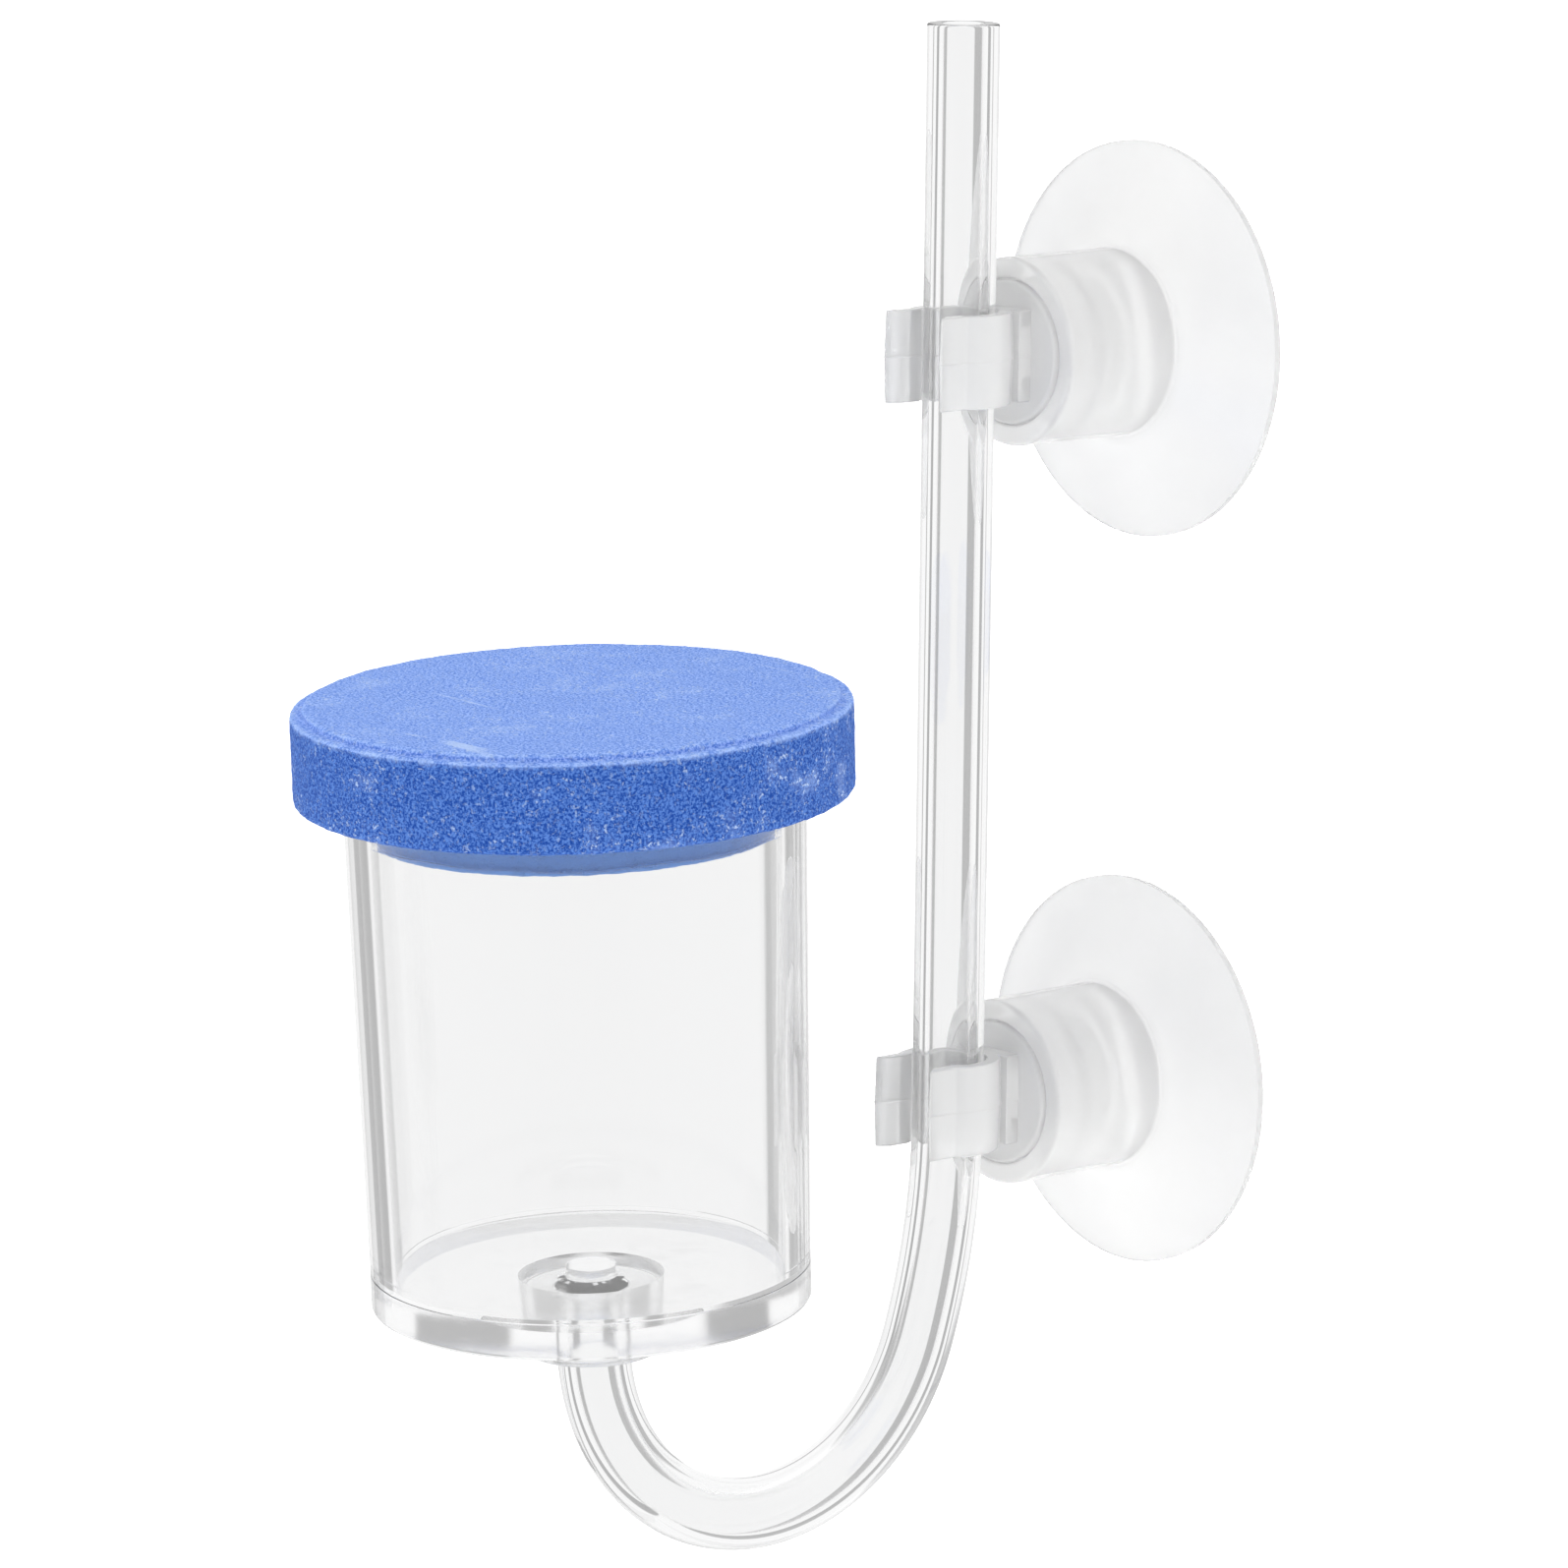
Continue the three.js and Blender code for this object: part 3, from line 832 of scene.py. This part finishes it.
def chamber_place():
    """The chamber's own frame, from the middle of the floor's underside. It leans from the hook."""
    low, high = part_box("chamber_base")
    lean = Matrix.Rotation(math.radians(CHAMBER_LEAN_DEG), 4, "X")
    middle = (low + high) / 2
    foot = middle - lean.to_3x3() @ Vector((0, 0, FLOOR_THICKNESS / 2 * MM))
    return Matrix.Translation(foot) @ lean


def add_chamber(joint):
    place = chamber_place()
    wall_acrylic = clear_acrylic("clear_acrylic_wall", WALL_ACRYLIC, stretch=(1, 1, 0.06),
                               scale=900, depth=0.001, polish=(0, 0.05))
    floor_acrylic = clear_acrylic("clear_acrylic_floor", FLOOR_ACRYLIC, stretch=(1, 1, 4),
                                scale=300, depth=0.003, polish=(0.07, 0.16))
    boss_acrylic = clear_acrylic("clear_acrylic_boss", FLOOR_ACRYLIC, stretch=(1, 1, 1),
                               scale=400, depth=0.004, polish=(0.2, 0.26))
    pieces = [
        (chamber_wall(), wall_acrylic, "clear_acrylic", "chamber_tube", bonded_wall),
        (chamber_floor(), floor_acrylic, "clear_acrylic", "chamber_base", bonded_floor),
        (inlet_boss(), boss_acrylic, "clear_acrylic", "inlet_boss", bonded_boss),
        (porous_disc(), blue_mineral(), "blue_mineral", "diffuser_disc", None),
        (adhesive_bead(), clear_adhesive(), "clear_adhesive", "disc_adhesive_ring", bonded_bead),
    ]
    for piece, material, slot, node, is_bonded in pieces:
        piece.matrix_world = place
        dress(piece, material, "diffuser", slot, node)
        if is_bonded:
            bond(piece, joint, is_bonded)


def add_tube(joint):
    tube = gas_tube()
    acrylic = clear_acrylic("clear_acrylic_tube", WALL_ACRYLIC, stretch=(1, 1, 0.02),
                            scale=1500, depth=0.0003, polish=(0, 0.03))
    dress(tube, acrylic, "diffuser", "clear_acrylic", "inlet_tube")
    bond(tube, joint, bonded_tube)


def add_holders():
    plastic = clip_plastic()
    vinyl = soft_vinyl()
    towards_room = Matrix.Rotation(math.pi / 2, 4, "X")
    for which in ("upper", "lower"):
        low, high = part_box(which + "_suction_cup")
        level = (low.z + high.z) / 2
        clip = tube_clip(which + "_clip_moulding")
        clip.matrix_world = Matrix.Translation((0, -TUBE_TO_GLASS * MM, level))
        dress(clip, plastic, which + "_clip", "frosted_clip_plastic", which + "_tube_clip")
        cup = suction_cup(which + "_cup_moulding")
        cup.matrix_world = Matrix.Translation((0, 0, level)) @ towards_room
        dress(cup, vinyl, which + "_cup", "soft_clear_vinyl", which + "_suction_cup")


# --- Studio -------------------------------------------------------------------

def camera_axes():
    azimuth = math.radians(CAMERA_AZIMUTH_DEG)
    elevation = math.radians(CAMERA_ELEVATION_DEG)
    roll = math.radians(CAMERA_ROLL_DEG)
    level = Vector((-math.sin(azimuth), math.cos(azimuth), 0))
    forward = level * math.cos(elevation) - Vector((0, 0, math.sin(elevation)))
    right = Vector((math.cos(azimuth), math.sin(azimuth), 0))
    up = right.cross(forward)
    rolled_right = math.cos(roll) * right + math.sin(roll) * up
    rolled_up = math.cos(roll) * up - math.sin(roll) * right
    return rolled_right, rolled_up, -forward


def add_camera():
    data = bpy.data.cameras.new("camera")
    data.sensor_width = CAMERA_SENSOR_MM
    data.lens = CAMERA_LENS_MM
    data.clip_start = 0.01
    data.clip_end = 50
    camera = bpy.data.objects.new("camera", data)
    camera.matrix_world = Matrix.Translation(CAMERA_PLACE_M) @ Matrix(camera_axes()).transposed().to_4x4()
    bpy.context.scene.collection.objects.link(camera)
    bpy.context.scene.camera = camera


def add_floor():
    """A white floor well below the object, which its clear parts neither bend nor mirror."""
    mesh = bmesh.new()
    bmesh.ops.create_grid(mesh, x_segments=4, y_segments=4, size=FLOOR_SIZE_M)
    floor = new_piece("studio_floor", mesh)
    floor.location = (0, 0, FLOOR_LEVEL_M)
    nodes = Nodes("studio_floor")
    nodes.set(Base_Color=(0.9, 0.9, 0.9, 1), Roughness=0.9)
    nodes.set(Emission_Color=(1, 1, 1, 1), Emission_Strength=0.6)
    floor.data.materials.append(nodes.material)
    floor.visible_transmission = False
    floor.visible_glossy = False


def grey(level):
    return level, level, level, 1


class StudioWorld:
    """The world's nodes: a white studio whose brightness depends on the direction."""

    def __init__(self):
        world = bpy.data.worlds.new("studio")
        bpy.context.scene.world = world
        world.use_nodes = True
        self.tree = world.node_tree
        self.background = self.tree.nodes["Background"]
        self.place = self.tree.nodes.new("ShaderNodeTexCoord").outputs["Generated"]

    def along(self, direction):
        dot = self.tree.nodes.new("ShaderNodeVectorMath")
        dot.operation = "DOT_PRODUCT"
        dot.inputs[1].default_value = direction
        self.tree.links.new(self.place, dot.inputs[0])
        return dot.outputs["Value"]

    def spread(self, value, low, high):
        node = self.tree.nodes.new("ShaderNodeMapRange")
        node.inputs["From Min"].default_value = low
        node.inputs["From Max"].default_value = high
        self.tree.links.new(value, node.inputs["Value"])
        return node.outputs["Result"]

    def turn(self):
        """The angle to the right of straight ahead, as a share of the full circle."""
        azimuth = math.radians(CAMERA_AZIMUTH_DEG)
        angle = self.tree.nodes.new("ShaderNodeMath")
        angle.operation = "ARCTAN2"
        self.tree.links.new(self.along((math.cos(azimuth), math.sin(azimuth), 0)), angle.inputs[0])
        self.tree.links.new(self.along((-math.sin(azimuth), math.cos(azimuth), 0)), angle.inputs[1])
        return self.spread(angle.outputs[0], -math.pi, math.pi)

    def levels(self, turn, stops):
        ring = self.tree.nodes.new("ShaderNodeValToRGB")
        while len(ring.color_ramp.elements) < len(stops):
            ring.color_ramp.elements.new(0.5)
        for element, (degrees, level) in zip(ring.color_ramp.elements, stops):
            element.position = 0.5 + degrees / 360
            element.color = grey(level)
        self.tree.links.new(turn, ring.inputs["Fac"])
        return ring.outputs["Color"]

    def mix(self, factor, first, second):
        blend = self.tree.nodes.new("ShaderNodeMix")
        blend.data_type = "RGBA"
        self.tree.links.new(factor, blend.inputs["Factor"])
        colours = [socket for socket in blend.inputs if socket.type == "RGBA"]
        self.tree.links.new(first, colours[0])
        if isinstance(second, bpy.types.NodeSocket):
            self.tree.links.new(second, colours[1])
        else:
            colours[1].default_value = second
        return [socket for socket in blend.outputs if socket.type == "RGBA"][0]


def add_studio_light():
    """A white studio round the object. Grey stretches at its sides draw the edges of the clear parts.
    After a diffuse bounce, light comes from a ring without them, brighter at its left and underfoot.
    Each stop is an angle to the right of straight ahead and a level."""
    below_stops = [(-180, 0.95), (-110, 1.0), (-44, 1.0), (-42, 0.42), (-24, 0.45), (-22, 1.0),
                   (13, 1.0), (14, 0.48), (39, 0.45), (41, 1.0), (110, 1.0), (180, 0.95)]
    above_stops = [(-180, 0.95), (-110, 1.0), (-75, 1.0), (-62, 0.5), (-30, 0.55), (-26, 1.0),
                   (60, 1.0), (110, 1.0), (180, 0.95)]
    matt_stops = [(-180, 0.95), (-120, 1.0), (-80, 1.6), (-40, 1.25),
                  (40, 1.1), (80, 1.15), (120, 1.0), (180, 0.95)]
    overhead = 1.2
    overhead_from, overhead_to = 0.35, 0.8
    underfoot = 1.9
    underfoot_from, underfoot_to = -0.3, -0.7
    horizon_half = 0.04
    world = StudioWorld()
    turn = world.turn()
    height = world.along((0, 0, 1))
    horizon = world.spread(height, -horizon_half, horizon_half)
    clear = world.mix(horizon, world.levels(turn, below_stops), world.levels(turn, above_stops))
    low = world.spread(height, underfoot_from, underfoot_to)
    matt = world.mix(low, world.levels(turn, matt_stops), grey(underfoot))
    after_matt = world.tree.nodes.new("ShaderNodeLightPath").outputs["Diffuse Depth"]
    sides = world.mix(world.spread(after_matt, 0, 1), clear, matt)
    high = world.spread(height, overhead_from, overhead_to)
    whole = world.mix(high, sides, grey(overhead))
    world.tree.links.new(whole, world.background.inputs["Color"])


def set_render_look():
    scene = bpy.context.scene
    scene.view_settings.view_transform = "Standard"
    scene.cycles.max_bounces = 32
    scene.cycles.transmission_bounces = 32
    scene.cycles.glossy_bounces = 16
    scene.cycles.diffuse_bounces = 16


shared_joint = bonded_joint()
add_chamber(shared_joint)
add_tube(shared_joint)
add_holders()
add_camera()
add_floor()
add_studio_light()
set_render_look()
